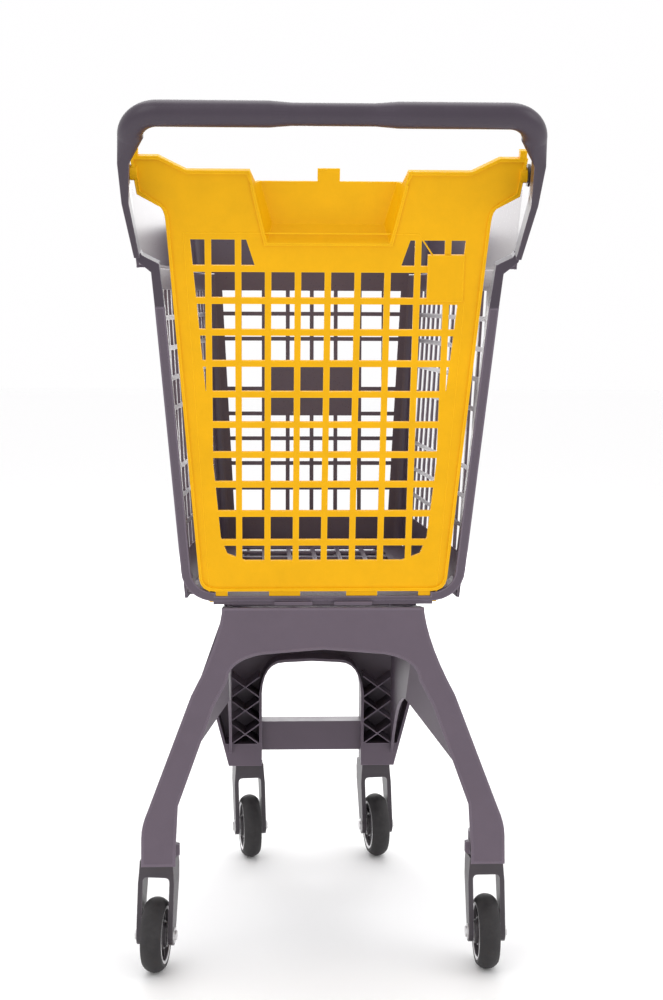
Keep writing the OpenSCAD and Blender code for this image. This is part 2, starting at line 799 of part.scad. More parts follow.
module rear_flap() {
    foot = 7;
    color(yellow) placed() difference() {
        union() {
            flap_plane() {
                difference() {
                    union() {
                        linear_extrude(flap_edge) difference() {
                            polygon(flap_outline(0));
                            polygon(flap_outline(flap_lip));
                        }
                        translate([0, 0, panel_in]) linear_extrude(flap_t) difference() {
                            polygon(flap_outline(flap_lip / 2));
                            difference() {
                                flap_cells();
                                translate([0, -110]) polygon(mirrored([[98, 40], [85, 0]]));
                                translate([plate_x, plate_s]) square([plate_w + 17, plate_h]);
                            }
                        }
                        intersection() {
                            translate([0, 0, panel_in]) flap_pocket(pocket_wall);
                            translate([-120, -100, 0]) cube([240, 88, 60]);
                        }
                    }
                    translate([0, 0, panel_in]) flap_pocket(0);
                }
                for (x = [[-135, 15], [-68, 39], [29, 39], [120, 15]])
                    translate([x[0], -flap_s - foot, panel_in]) cube([x[1], foot + 1, flap_t]);
                translate([plate_x, plate_s, panel_in - plate_rise]) cube([plate_w, plate_h, plate_rise + 1]);
                translate([-13, -13, panel_in + pocket_depth]) cube([26, 16, pocket_wall]);
                both_sides() translate([ear_x - ear_t - 1.5, 18, 0])
                    cube([ear_t, ear_top_s - 18, flap_edge]);
            }
            both_sides() on_hinge(ear_x - ear_t) cylinder(h = ear_t, d = bush_d);
        }
        both_sides() on_hinge(ear_x - ear_t) cylinder(h = 2 * ear_t, d = pin_d);
    }
}

module hinge_pin(side) {
    color(yellow) placed() on_side(side)
        on_hinge(ear_x - ear_t) cylinder(h = ear_t + pin_reach, d = pin_d);
}

module hinge_socket(side) {
    flange_t = 3.4;
    color(black) placed() on_side(side) on_hinge(ear_x) difference() {
        union() {
            translate([0, 0, body_gap]) cylinder(h = flange_t, d = socket_d);
            translate([0, 0, body_gap]) cylinder(h = pin_reach + 1, d = bush_d);
        }
        translate([0, 0, -1]) cylinder(h = pin_reach + 1 + body_gap, d = pin_d + 2 * running_gap);
    }
}

// ---------- casters ----------

module at_caster(c) {
    placed() translate([c[1][0], c[1][1], 0]) rotate([0, 0, c[2]]) children();
}

axle_z = wheel_d / 2;
crown_top = neck_z - body_gap;
crown_low = crown_top - crown_h;
hub_r = wheel_d / 2 - tyre_t;
hub_w = fork_gap - 4;
race_d = 22;
race_w = 7;

module swivel_bearing(c) {
    color(black) at_caster(c) difference() {
        translate([0, 0, neck_z]) cylinder(h = bearing_h, d = crown_d - 2 * base_wall);
        translate([0, 0, neck_z - 1]) cylinder(h = bearing_h + 2, d = kingpin_d + 2 * running_gap);
    }
}

module kingpin(c) {
    color(steel) at_caster(c) translate([0, 0, crown_low + 4])
        cylinder(h = crown_h + bearing_h - 6, d = kingpin_d);
}

// The fork seen along the travel direction, with the wheel's window
module fork_front() {
    half = fork_gap / 2;
    window_r = 6;
    difference() {
        polygon(mirrored([
            [0, crown_top], [crown_d / 2, crown_top], [half + fork_arm_t, crown_low - 8],
            [half + fork_arm_t, 0], [0, 0]
        ]));
        polygon(mirrored(concat(
            [[0, -1], [half, -1]],
            curve([half, crown_low - window_r], [half, crown_low], [half - window_r, crown_low], 4),
            [[0, crown_low]]
        )));
    }
}

// The fork seen from its side
module fork_side() {
    boss_r = 13;
    half = crown_d / 2;
    polygon(concat(
        [[-half, crown_top], [half, crown_top], [half, crown_low + 8], [half - 5, crown_low - 2]],
        [for (a = [20:-20:-200]) [-trail + boss_r * cos(a), axle_z + boss_r * sin(a)]],
        [[-half - 3, crown_low - 12], [-half, crown_low + 6]]
    ));
}

module fork(c) {
    color(dark) at_caster(c) difference() {
        intersection() {
            rotate([90, 0, 0]) linear_extrude(4 * crown_d, center = true) fork_front();
            rotate([90, 0, 90]) linear_extrude(2 * crown_d, center = true) fork_side();
        }
        translate([0, 0, crown_low + 4]) cylinder(h = crown_h, d = kingpin_d);
        translate([-fork_gap, -trail, axle_z]) rotate([0, 90, 0]) cylinder(h = 2 * fork_gap, d = axle_d);
    }
}

module axle_bolt(c) {
    over_arms = fork_gap + 2 * fork_arm_t;
    head_h = 3.2;
    color(steel) at_caster(c) translate([-over_arms / 2, -trail, axle_z]) rotate([0, 90, 0]) {
        cylinder(h = over_arms, d = axle_d);
        translate([0, 0, -head_h]) cylinder(h = head_h, d = 14);
        translate([0, 0, over_arms]) cylinder(h = head_h, d = 13, $fn = 6);
    }
}

module on_axle(c) {
    at_caster(c) translate([0, -trail, axle_z]) rotate([0, 90, 0]) children();
}

module wheel_bearings(c) {
    color(steel) on_axle(c) for (s = [-1, 1])
        translate([0, 0, s * (hub_w / 2 - race_w / 2)]) difference() {
            cylinder(h = race_w, d = race_d, center = true);
            cylinder(h = race_w + 2, d = axle_d + 2 * running_gap, center = true);
        }
}

module wheel_hub(c) {
    web = 6;
    race_r = race_d / 2;
    face = hub_w / 2;
    flange = tyre_w / 2 - 1;
    color(dark_grey) on_axle(c)
        rotate_extrude() polygon([
            [race_r - 4, -face + race_w], [race_r, -face + race_w], [race_r, -face],
            [race_r + 4, -face], [race_r + 5, -web], [hub_r - 5, -web], [hub_r - 4, -flange],
            [hub_r, -flange], [hub_r, flange], [hub_r - 4, flange], [hub_r - 5, web],
            [race_r + 5, web], [race_r + 4, face], [race_r, face],
            [race_r, face - race_w], [race_r - 4, face - race_w]
        ]);
}

module tyre(c) {
    crown_r = tyre_w * 0.62;
    color(dark_grey) on_axle(c) rotate_extrude() intersection() {
        translate([hub_r, -tyre_w / 2]) square([tyre_t, tyre_w]);
        translate([wheel_d / 2 - crown_r, 0]) circle(crown_r, $fn = 64);
    }
}

base_rear_frame();
base_front_frame();
base_skirt(-1);  // base_left_skirt
base_skirt(1);  // base_right_skirt
base_deck();
base_crossbar();
basket_clips();
basket_floor();
basket_side_wall(-1);  // basket_left_wall
basket_side_wall(1);  // basket_right_wall
basket_front_wall();
basket_rear_rim();
handle_frame();
hinge_socket(-1);  // left_hinge_socket
hinge_socket(1);  // right_hinge_socket
rear_flap();
hinge_pin(-1);  // left_hinge_pin
hinge_pin(1);  // right_hinge_pin
for (c = CASTERS) {
    swivel_bearing(c);
    fork(c);
    kingpin(c);
    axle_bolt(c);
    wheel_bearings(c);
    wheel_hub(c);
    tyre(c);
}
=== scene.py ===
"""The looks of the plastic shopping trolley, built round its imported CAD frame."""

from __future__ import annotations

import json
import logging
import math
from dataclasses import dataclass, field
from enum import Enum
from typing import Sequence

import bmesh
import bpy
from mathutils import Matrix, Vector


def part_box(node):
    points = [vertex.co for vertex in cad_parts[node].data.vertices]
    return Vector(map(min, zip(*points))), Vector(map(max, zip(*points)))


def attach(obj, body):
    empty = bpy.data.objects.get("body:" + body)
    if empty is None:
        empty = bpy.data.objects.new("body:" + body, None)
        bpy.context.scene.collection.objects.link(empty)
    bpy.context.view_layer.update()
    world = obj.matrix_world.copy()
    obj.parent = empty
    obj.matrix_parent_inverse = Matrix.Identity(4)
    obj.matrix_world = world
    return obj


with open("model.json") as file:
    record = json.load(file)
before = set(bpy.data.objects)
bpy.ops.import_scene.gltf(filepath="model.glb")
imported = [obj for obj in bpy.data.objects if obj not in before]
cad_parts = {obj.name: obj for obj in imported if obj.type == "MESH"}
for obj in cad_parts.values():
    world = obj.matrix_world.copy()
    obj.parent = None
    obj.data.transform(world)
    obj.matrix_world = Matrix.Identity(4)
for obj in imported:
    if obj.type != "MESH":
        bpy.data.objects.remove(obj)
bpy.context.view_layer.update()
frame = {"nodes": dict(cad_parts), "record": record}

LOG = logging.getLogger("trolley")
MM = 0.001

Colour = tuple[float, float, float]


class Side(Enum):
    """A side of the trolley, as seen from the handle."""

    LEFT = -1
    RIGHT = 1


class Corner(Enum):
    """A caster's place and its resting swivel angle in degrees."""

    REAR_LEFT = ("rear_left", -8)
    REAR_RIGHT = ("rear_right", 1)
    FRONT_LEFT = ("front_left", 7)
    FRONT_RIGHT = ("front_right", 8)

    @property
    def label(self) -> str:
        """The name that the caster's nodes and bodies start with."""
        return self.value[0]

    @property
    def swivel(self) -> float:
        """The resting swivel angle in degrees."""
        return float(self.value[1])


# ---------------------------------------------------------------- shader kit


class Value:
    """A shader value, whose operators add Math nodes to its graph."""

    def __init__(self, graph: "Graph", socket: bpy.types.NodeSocket) -> None:
        """Wraps a socket of a graph."""
        self.graph = graph
        self.socket = socket

    def _math(self, operation: str, *terms: object) -> "Value":
        """Adds one Math node.

        Args:
            operation: The Math node's operation.
            terms: Its inputs, as numbers or values.

        Returns:
            The node's result.
        """
        inputs = dict(enumerate(terms))
        made = self.graph.node("ShaderNodeMath", {"operation": operation}, inputs)
        return Value(self.graph, made.outputs[0])

    def __add__(self, other: object) -> "Value":
        """Returns self + other."""
        return self._math("ADD", self, other)

    def __radd__(self, other: object) -> "Value":
        """Returns other + self."""
        return self._math("ADD", other, self)

    def __sub__(self, other: object) -> "Value":
        """Returns self - other."""
        return self._math("SUBTRACT", self, other)

    def __rsub__(self, other: object) -> "Value":
        """Returns other - self."""
        return self._math("SUBTRACT", other, self)

    def __mul__(self, other: object) -> "Value":
        """Returns self * other."""
        return self._math("MULTIPLY", self, other)

    def __rmul__(self, other: object) -> "Value":
        """Returns other * self."""
        return self._math("MULTIPLY", other, self)

    def __truediv__(self, other: object) -> "Value":
        """Returns self / other."""
        return self._math("DIVIDE", self, other)

    def __pow__(self, other: object) -> "Value":
        """Returns self ** other."""
        return self._math("POWER", self, other)

    def clamped(self) -> "Value":
        """Returns the value held between 0 and 1."""
        return self._math("MINIMUM", self._math("MAXIMUM", self, 0.0), 1.0)


class Graph:
    """A material's node graph."""

    def __init__(self, name: str) -> None:
        """Makes an empty material with its output node."""
        self.material = bpy.data.materials.new(name)
        self.material.use_nodes = True
        self.tree = self.material.node_tree
        self.tree.nodes.clear()
        self.output = self.tree.nodes.new("ShaderNodeOutputMaterial")

    def node(
        self, kind: str, settings: dict | None = None, inputs: dict | None = None
    ) -> bpy.types.Node:
        """Adds a node, sets it and then fills its sockets.

        Args:
            kind: The node's type name.
            settings: Attributes of the node, and "stops" for a ramp's stops.
            inputs: Socket name or number to a number, colour, value or socket.

        Returns:
            The new node.
        """
        made = self.tree.nodes.new(kind)
        for key, value in (settings or {}).items():
            if key == "stops":
                ramp = made.color_ramp
                while len(ramp.elements) < len(value):
                    ramp.elements.new(1.0)
                for stop, (place, shade) in zip(ramp.elements, value):
                    stop.position = place
                    stop.color = (shade, shade, shade, 1.0)
            else:
                setattr(made, key, value)
        for key, value in (inputs or {}).items():
            self.feed(made.inputs[key], value)
        return made

    def feed(self, socket: bpy.types.NodeSocket, value: object) -> None:
        """Links or sets one socket."""
        if isinstance(value, Value):
            value = value.socket
        if isinstance(value, bpy.types.NodeSocket):
            self.tree.links.new(value, socket)
        elif isinstance(value, tuple) and len(value) == 3 and socket.type == "RGBA":
            socket.default_value = (*value, 1.0)
        else:
            socket.default_value = value

    def place(self) -> bpy.types.NodeSocket:
        """Returns the surface point in the piece's own coordinates."""
        return self.node("ShaderNodeTexCoord").outputs["Object"]

    def noise(self, scale: float, detail: float = 2.0, rough: float = 0.5) -> Value:
        """Returns a noise between 0 and 1.

        Args:
            scale: Its cells for each metre.
            detail: Its octaves.
            rough: How strong the small octaves are.

        Returns:
            The noise value.
        """
        made = self.node(
            "ShaderNodeTexNoise",
            {},
            {"Vector": self.place(), "Scale": scale, "Detail": detail, "Roughness": rough},
        )
        return Value(self, made.outputs["Fac"])

    def ramp(self, value: Value, stops: Sequence[tuple[float, float]]) -> Value:
        """Returns the value passed through a ramp of grey stops."""
        made = self.node("ShaderNodeValToRGB", {"stops": stops}, {"Fac": value})
        return Value(self, made.outputs["Color"])

    def mix(self, factor: object, low: object, high: object) -> bpy.types.NodeSocket:
        """Returns a colour between low and high by the factor."""
        settings = {"data_type": "RGBA", "blend_type": "MIX"}
        made = self.node("ShaderNodeMix", settings)
        self.feed(made.inputs[0], factor)
        self.feed(made.inputs[6], low)
        self.feed(made.inputs[7], high)
        return made.outputs[2]

    def edges(self, radius: float) -> Value:
        """Returns a mask that is 1 on sharp edges of that radius.

        Args:
            radius: How far in from an edge the mask reaches, in metres.

        Returns:
            The mask.
        """
        soft = self.node("ShaderNodeBevel", {"samples": 4}, {"Radius": radius}).outputs[0]
        true = self.node("ShaderNodeNewGeometry").outputs["True Normal"]
        dot = self.node("ShaderNodeVectorMath", {"operation": "DOT_PRODUCT"}, {0: soft, 1: true})
        return ((1.0 - Value(self, dot.outputs["Value"])) * 6.0).clamped()

    def facing_up(self) -> Value:
        """Returns how far the surface faces upwards, from 0 to 1."""
        normal = self.node("ShaderNodeNewGeometry").outputs["Normal"]
        parts = self.node("ShaderNodeSeparateXYZ", {}, {0: normal})
        return Value(self, parts.outputs["Z"]).clamped()

    def height(self) -> Value:
        """Returns the surface point's height in metres."""
        parts = self.node("ShaderNodeSeparateXYZ", {}, {0: self.place()})
        return Value(self, parts.outputs["Z"])

    def bump(self, height: Value, distance: float, strength: float = 1.0) -> bpy.types.NodeSocket:
        """Returns a normal bumped by a height between 0 and 1."""
        inputs = {"Height": height, "Distance": distance, "Strength": strength}
        return self.node("ShaderNodeBump", {}, inputs).outputs[0]

    def shade(self, inputs: dict) -> bpy.types.Material:
        """Adds the surface shader, links it and returns the material."""
        shader = self.node("ShaderNodeBsdfPrincipled", {}, inputs)
        self.tree.links.new(shader.outputs[0], self.output.inputs["Surface"])
        return self.material


# ------------------------------------------------------------------ finishes


@dataclass(frozen=True)
class Moulded:
    """An injection-moulded plastic.

    Attributes:
        name: The material's name.
        colour: Its own colour.
        rubbed: The lighter colour of its edges, partly rubbed wear and partly a painted highlight along
            them.
        dusty: The colour that settles on what faces up.
        roughness: Its mean roughness.
        grain: Height of the spark-eroded grain, in metres.
        dust: How much dust there is, from 0 to 1.
        sheen: The shader's specular level.
    """

    name: str
    colour: Colour
    rubbed: Colour
    dusty: Colour
    roughness: float = 0.42
    grain: float = 0.00006
    dust: float = 0.25
    sheen: float = 0.5

    def material(self) -> bpy.types.Material:
        """Builds the finish as a material."""
        g = Graph(self.name)
        cloud = g.noise(7.0, 4.0, 0.6)
        speck = g.noise(420.0, 3.0, 0.65)
        flow = g.noise(38.0, 5.0, 0.7)
        tone = (cloud * 0.6 + flow * 0.4).clamped()
        darker = tuple(0.84 * c for c in self.colour)
        body = g.mix(g.ramp(tone, ((0.3, 0.0), (0.7, 1.0))), darker, self.colour)
        # Sharp edges are lightened towards the edge colour: partly rubbed wear, partly a painted
        # highlight along them.
        worn_and_highlit = g.mix(g.edges(0.0016) * (0.35 + flow * 0.5), body, self.rubbed)
        dust = g.facing_up() ** 2.0 * g.ramp(flow * 0.5 + speck * 0.5, ((0.42, 0.0), (0.66, 1.0)))
        cover = g.mix(dust * self.dust, worn_and_highlit, self.dusty)
        rough = self.roughness - 0.05 + speck * 0.1 + dust * 0.12
        grain = g.noise(900.0, 2.0, 0.6) * 0.7 + g.noise(160.0, 2.0, 0.5) * 0.3
        return g.shade(
            {
                "Base Color": cover,
                "Roughness": rough,
                "Normal": g.bump(grain, self.grain, 0.6),
                "Specular IOR Level": self.sheen,
            }
        )


@dataclass(frozen=True)
class Rubber:
    """A cast rubber tread with road dust.

    Attributes:
        name: The material's name.
        colour: Its own colour.
        dusty: The colour of the dust on it.
    """

    name: str
    colour: Colour
    dusty: Colour

    def material(self) -> bpy.types.Material:
        """Builds the finish as a material."""
        g = Graph(self.name)
        patch = g.ramp(g.noise(60.0, 5.0, 0.7), ((0.45, 0.0), (0.7, 1.0)))
        speck = g.noise(700.0, 3.0, 0.7)
        cover = g.mix(patch * 0.4 * (0.4 + speck * 0.6), self.colour, self.dusty)
        return g.shade(
            {
                "Base Color": cover,
                "Roughness": 0.62 + patch * 0.2,
                "Normal": g.bump(speck, 0.00012, 0.8),
                "IOR": 1.5,
            }
        )


@dataclass(frozen=True)
class Metal:
    """A zinc-plated steel.

    Attributes:
        name: The material's name.
        colour: Its own colour.
        roughness: Its mean roughness.
    """

    name: str
    colour: Colour
    roughness: float = 0.3

    def material(self) -> bpy.types.Material:
        """Builds the finish as a material."""
        g = Graph(self.name)
        scratch = g.noise(260.0, 6.0, 0.75)
        tarnish = g.ramp(g.noise(90.0, 4.0, 0.6), ((0.4, 0.0), (0.8, 1.0)))
        dull = tuple(0.6 * c for c in self.colour)
        return g.shade(
            {
                "Base Color": g.mix(tarnish * 0.6, self.colour, dull),
                "Metallic": 1.0,
                "Roughness": self.roughness + scratch * 0.2,
                "Normal": g.bump(scratch, 0.00003, 0.6),
            }
        )


@dataclass(frozen=True)
class Paper:
    """A plain studio surface.

    Attributes:
        name: The material's name.
        colour: Its own colour.
    """

    name: str
    colour: Colour

    def material(self) -> bpy.types.Material:
        """Builds the finish as a material."""
        g = Graph(self.name)
        fibre = g.noise(30.0, 3.0, 0.5)
        edge = tuple(0.995 * c for c in self.colour)
        return g.shade({"Base Color": g.mix(fibre, edge, self.colour), "Roughness": 0.8})


# Each finish's second colour lightens its sharp edges: rubbed wear together with a painted highlight.
FRAME_PLASTIC = Moulded("moulded_frame", (0.112, 0.083, 0.114), (0.26, 0.21, 0.27), (0.3, 0.26, 0.31))
BASKET_PLASTIC = Moulded(
    "moulded_basket", (0.094, 0.069, 0.097), (0.3, 0.25, 0.32), (0.33, 0.29, 0.34), 0.29
)
HANDLE_PLASTIC = Moulded(
    "moulded_handle", (0.042, 0.028, 0.046), (0.2, 0.16, 0.21), (0.16, 0.13, 0.17), 0.34
)
FLAP_PLASTIC = Moulded(
    "moulded_flap", (0.88, 0.45, 0.002), (1.0, 0.62, 0.012), (0.92, 0.47, 0.02), 0.46, 0.00005, 0.08, 0.14
)
BUSH_PLASTIC = Moulded("moulded_bush", (0.02, 0.016, 0.02), (0.1, 0.08, 0.1), (0.2, 0.18, 0.2), 0.4)
FORK_PLASTIC = Moulded("moulded_fork", (0.05, 0.04, 0.05), (0.2, 0.17, 0.2), (0.24, 0.22, 0.24), 0.36)
HUB_PLASTIC = Moulded("moulded_hub", (0.04, 0.034, 0.039), (0.18, 0.16, 0.18), (0.25, 0.23, 0.25), 0.4)
TREAD_RUBBER = Rubber("tread_rubber", (0.013, 0.011, 0.0125), (0.09, 0.085, 0.085))
ZINC = Metal("zinc_steel", (0.7, 0.69, 0.7))
FLOOR_PAPER = Paper("floor_paper", (0.99, 0.99, 0.99))


class Finish(Enum):
    """The record's material slots and the finish that each one shows."""

    DARK = ("dark_plastic", FRAME_PLASTIC)
    BASKET = ("basket_plastic", BASKET_PLASTIC)
    YELLOW = ("yellow_plastic", FLAP_PLASTIC)
    BLACK = ("black_plastic", BUSH_PLASTIC)
    FORK = ("fork_plastic", FORK_PLASTIC)
    HUB = ("hub_plastic", HUB_PLASTIC)
    TYRE = ("tyre_rubber", TREAD_RUBBER)
    STEEL = ("steel", ZINC)
    GRIP = ("grip_of_the_handle", HANDLE_PLASTIC)

    @property
    def slot(self) -> str:
        """The record's name of the slot."""
        return self.value[0]

    def material(self) -> bpy.types.Material:
        """Returns the slot's material, made the first time it is asked for."""
        return bpy.data.materials.get(self.value[1].name) or self.value[1].material()


# -------------------------------------------------------------------- studio


@dataclass
class Studio:
    """The floor, the lights and the camera.

    Attributes:
        camera_at: The camera's place.
        pitch: Its tilt up from straight down, in degrees.
        yaw: Its turn about the upright axis, in degrees.
        roll: Its turn about its own line of sight, in degrees.
        lens: Its focal length in millimetres.
        target: What the lamps look at.
    """

    camera_at: Vector = field(default_factory=lambda: Vector((-0.088, -2.3553, 0.851)))
    pitch: float = 83.51
    yaw: float = -2.51
    roll: float = 0.24
    lens: float = 64.8
    target: Vector = field(default_factory=lambda: Vector((0.0, 0.0, 0.55)))

    def build(self) -> None:
        """Makes the whole studio."""
        self.floor()
        self.camera()
        self.sky()
        self.lamp("key_light", (-1.6, -2.2, 3.0), 2.2, 14.0)
        self.lamp("fill_light", (2.4, -1.0, 2.2), 1.6, 8.0)
        self.lamp("top_light", (0.0, 0.8, 3.2), 2.4, 24.0)
        self.lamp("back_light", (-0.1, 3.2, 1.5), 2.6, 52.0)

    def floor(self) -> None:
        """Lays a wide plain floor."""
        mesh = bpy.data.meshes.new("studio_floor")
        reach = 14.0
        corners = [(-reach, -reach, 0), (reach, -reach, 0), (reach, reach, 0), (-reach, reach, 0)]
        mesh.from_pydata(corners, [], [(0, 1, 2, 3)])
        mesh.materials.append(FLOOR_PAPER.material())
        floor = bpy.data.objects.new("studio_floor", mesh)
        bpy.context.scene.collection.objects.link(floor)

    def camera(self) -> None:
        """Sets the camera at its place behind the trolley."""
        data = bpy.data.cameras.new("camera")
        data.lens = self.lens
        data.sensor_width = 36.0
        data.clip_end = 60.0
        camera = bpy.data.objects.new("camera", data)
        turns = ((self.yaw, "Z"), (self.pitch, "X"), (self.roll, "Z"))
        turn = [Matrix.Rotation(math.radians(angle), 4, axis) for angle, axis in turns]
        camera.matrix_world = Matrix.Translation(self.camera_at) @ turn[0] @ turn[1] @ turn[2]
        bpy.context.scene.collection.objects.link(camera)
        bpy.context.scene.camera = camera

    def sky(self) -> None:
        """Surrounds the studio with plain white light."""
        world = bpy.data.worlds.new("studio_sky")
        world.use_nodes = True
        sky = world.node_tree.nodes["Background"]
        sky.inputs[0].default_value = (1.0, 0.995, 1.0, 1.0)
        sky.inputs[1].default_value = 1.0
        bpy.context.scene.world = world
        bpy.context.scene.view_settings.view_transform = "Standard"

    def lamp(self, name: str, at: Sequence[float], size: float, power: float) -> None:
        """Hangs one soft square lamp that looks at the basket.

        Args:
            name: The lamp's name.
            at: Its place in metres.
            size: The length of its sides in metres.
            power: Its power in watts.
        """
        data = bpy.data.lights.new(name, "AREA")
        data.size = size
        data.energy = power
        lamp = bpy.data.objects.new(name, data)
        lamp.location = at
        lamp.visible_camera = False
        aim = self.target - Vector(at)
        lamp.rotation_euler = aim.to_track_quat("-Z", "Y").to_euler()
        bpy.context.scene.collection.objects.link(lamp)


# ------------------------------------------------------------------ mesh kit


ACROSS = Vector((1.0, 0.0, 0.0))
FORWARD = Vector((0.0, 1.0, 0.0))
UP = Vector((0.0, 0.0, 1.0))


def rearward(lean: float) -> Vector:
    """Returns the outward direction of a rear face that leans by so many degrees."""
    turn = math.radians(lean)
    return Vector((0.0, -math.cos(turn), -math.sin(turn)))


@dataclass
class Outline:
    """A closed outline on a flat face, whose inside lies on its left.

    Attributes:
        points: Its corners in order, in metres.
        normal: The face's outward direction.
    """

    points: list[Vector]
    normal: Vector

    @property
    def length(self) -> float:
        """The distance all the way round."""
        return sum((a - b).length for a, b in zip(self.points, self.points[1:] + self.points[:1]))

    def inward(self) -> list[Vector]:
        """Returns each corner's mitred step towards the inside."""
        steps = []
        count = len(self.points)
        for i, here in enumerate(self.points):
            before = (here - self.points[i - 1]).normalized()
            after = (self.points[(i + 1) % count] - here).normalized()
            sides = self.normal.cross(before), self.normal.cross(after)
            steps.append((sides[0] + sides[1]) / max(1.0 + sides[0].dot(sides[1]), 0.5))
        return steps

    def grown(self, distance: float) -> "Outline":
        """Returns the outline moved outwards by a distance."""
        moved = [p - distance * step for p, step in zip(self.points, self.inward())]
        return Outline(moved, self.normal)


def simplified(points: list[Vector]) -> list[Vector]:
    """Returns a closed run of points without the ones on straight lines."""
    kept = []
    for i, here in enumerate(points):
        before = (here - points[i - 1]).normalized()
        after = (points[(i + 1) % len(points)] - here).normalized()
        if before.dot(after) < 0.99999:
            kept.append(here)
    return kept


def outlines(node: str, normal: Vector, depth: float = 0.0) -> list[Outline]:
    """Traces the flat faces of a CAD node that face one way.

    Args:
        node: The CAD node's name.
        normal: The direction that the faces look in.
        depth: How far they lie behind the node's farthest point, in metres.

    Returns:
        Their outlines, the longest first.
    """
    mesh = frame["nodes"][node].data
    reach = max(v.co.dot(normal) for v in mesh.vertices) - depth
    keys = [tuple(round(c, 6) for c in v.co) for v in mesh.vertices]
    edges: set[tuple] = set()
    for face in mesh.polygons:
        if face.normal.dot(normal) < 0.9999 or abs(face.center.dot(normal) - reach) > 0.0002:
            continue
        ring = [keys[i] for i in face.vertices]
        for edge in zip(ring, ring[1:] + ring[:1]):
            if edge[::-1] in edges:
                edges.remove(edge[::-1])
            else:
                edges.add(edge)
    follows = dict(sorted(edges))
    found = []
    while follows:
        start = min(follows)
        chain = [start]
        while chain[-1] in follows:
            chain.append(follows.pop(chain[-1]))
        if chain[-1] == start and len(chain) > 3:
            found.append(Outline(simplified([Vector(k) for k in chain[:-1]]), normal))
    return sorted(found, key=lambda o: -o.length)


@dataclass
class Piece:
    """One visible piece that rides on a body.

    Attributes:
        name: The piece's name.
        body: The body it rides on.
        finish: The finish it shows.
    """

    name: str
    body: str
    finish: Finish
    mesh: bmesh.types.BMesh = field(default_factory=bmesh.new, repr=False)

    def skin(self, rings: Sequence[Sequence[Vector]], closed: bool) -> "Piece":
        """Skins rings of points, each joined to the next.

        Args:
            rings: Rings with the same number of points.
            closed: Whether the last ring joins the first; if not, both ends are capped.

        Returns:
            The piece itself.
        """
        made = [[self.mesh.verts.new(p) for p in ring] for ring in rings]
        count = len(made[0])
        for here, there in zip(made, made[1:] + (made[:1] if closed else [])):
            for j in range(count):
                k = (j + 1) % count
                self.mesh.faces.new((here[j], here[k], there[k], there[j]))
        if not closed:
            self.mesh.faces.new(made[0][::-1])
            self.mesh.faces.new(made[-1])
        return self

    def bead(self, line: Outline, radius: float, inset: float, sink: float) -> "Piece":
        """Lays a round bead along an outline.

        Args:
            line: The outline to follow.
            radius: The bead's radius in metres.
            inset: How far its middle lies inside the outline.
            sink: How far its middle lies under the face.

        Returns:
            The piece itself.
        """
        turns = [2.0 * math.pi * i / 8 for i in range(8)]
        rings = []
        for point, step in zip(line.points, line.inward()):
            middle = point + inset * step - sink * line.normal
            rings.append(
                [middle + radius * (math.cos(t) * step + math.sin(t) * line.normal) for t in turns]
            )
        return self.skin(rings, True)

    def lathe(
        self, middle: Vector, axis: Vector, profile: Sequence[tuple[float, float]], steps: int = 48
    ) -> "Piece":
        """Turns a closed profile about an axis.

        Args:
            middle: A point on the axis, from which heights count.
            axis: The axis.
            profile: Corners as (radius, height) in millimetres.
            steps: How many straight steps there are in a turn.

        Returns:
            The piece itself.
        """
        along = axis.normalized()
        across = along.orthogonal().normalized()
        other = along.cross(across)
        rings = []
        for i in range(steps):
            turn = 2.0 * math.pi * i / steps
            out = math.cos(turn) * across + math.sin(turn) * other
            rings.append([middle + MM * (r * out + h * along) for r, h in profile])
        return self.skin(rings, True)

    def block(self, middle: Vector, axes: Matrix, size: Sequence[float], taper: float = 0.8) -> "Piece":
        """Adds a block whose far end is a little smaller.

        Args:
            middle: The middle of its near end, in metres.
            axes: The directions of its width, depth and height.
            size: Its width, depth and height in millimetres.
            taper: The far end's size as a share of the near end's.

        Returns:
            The piece itself.
        """
        corners = ((-0.5, -0.5), (0.5, -0.5), (0.5, 0.5), (-0.5, 0.5))
        rings = []
        for rise, share in ((0.0, 1.0), (0.85, (1.0 + taper) / 2.0), (1.0, taper)):
            spots = [(x * share * size[0], y * share * size[1], rise * size[2]) for x, y in corners]
            rings.append([middle + axes @ (MM * Vector(spot)) for spot in spots])
        return self.skin(rings, False)

    def show(self) -> bpy.types.Object:
        """Makes the object, dresses it and sets it on its body."""
        bmesh.ops.recalc_face_normals(self.mesh, faces=self.mesh.faces)
        for face in self.mesh.faces:
            face.smooth = True
        for edge in self.mesh.edges:
            edge.smooth = len(edge.link_faces) == 2 and edge.calc_face_angle(0.0) < 0.7
        data = bpy.data.meshes.new(self.name)
        self.mesh.to_mesh(data)
        self.mesh.free()
        data.materials.append(self.finish.material())
        made = bpy.data.objects.new(self.name, data)
        bpy.context.scene.collection.objects.link(made)
        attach(made, self.body)
        LOG.info("%s: %d faces on %s", self.name, len(data.polygons), self.body)
        return made


# -------------------------------------------------------------------- pieces


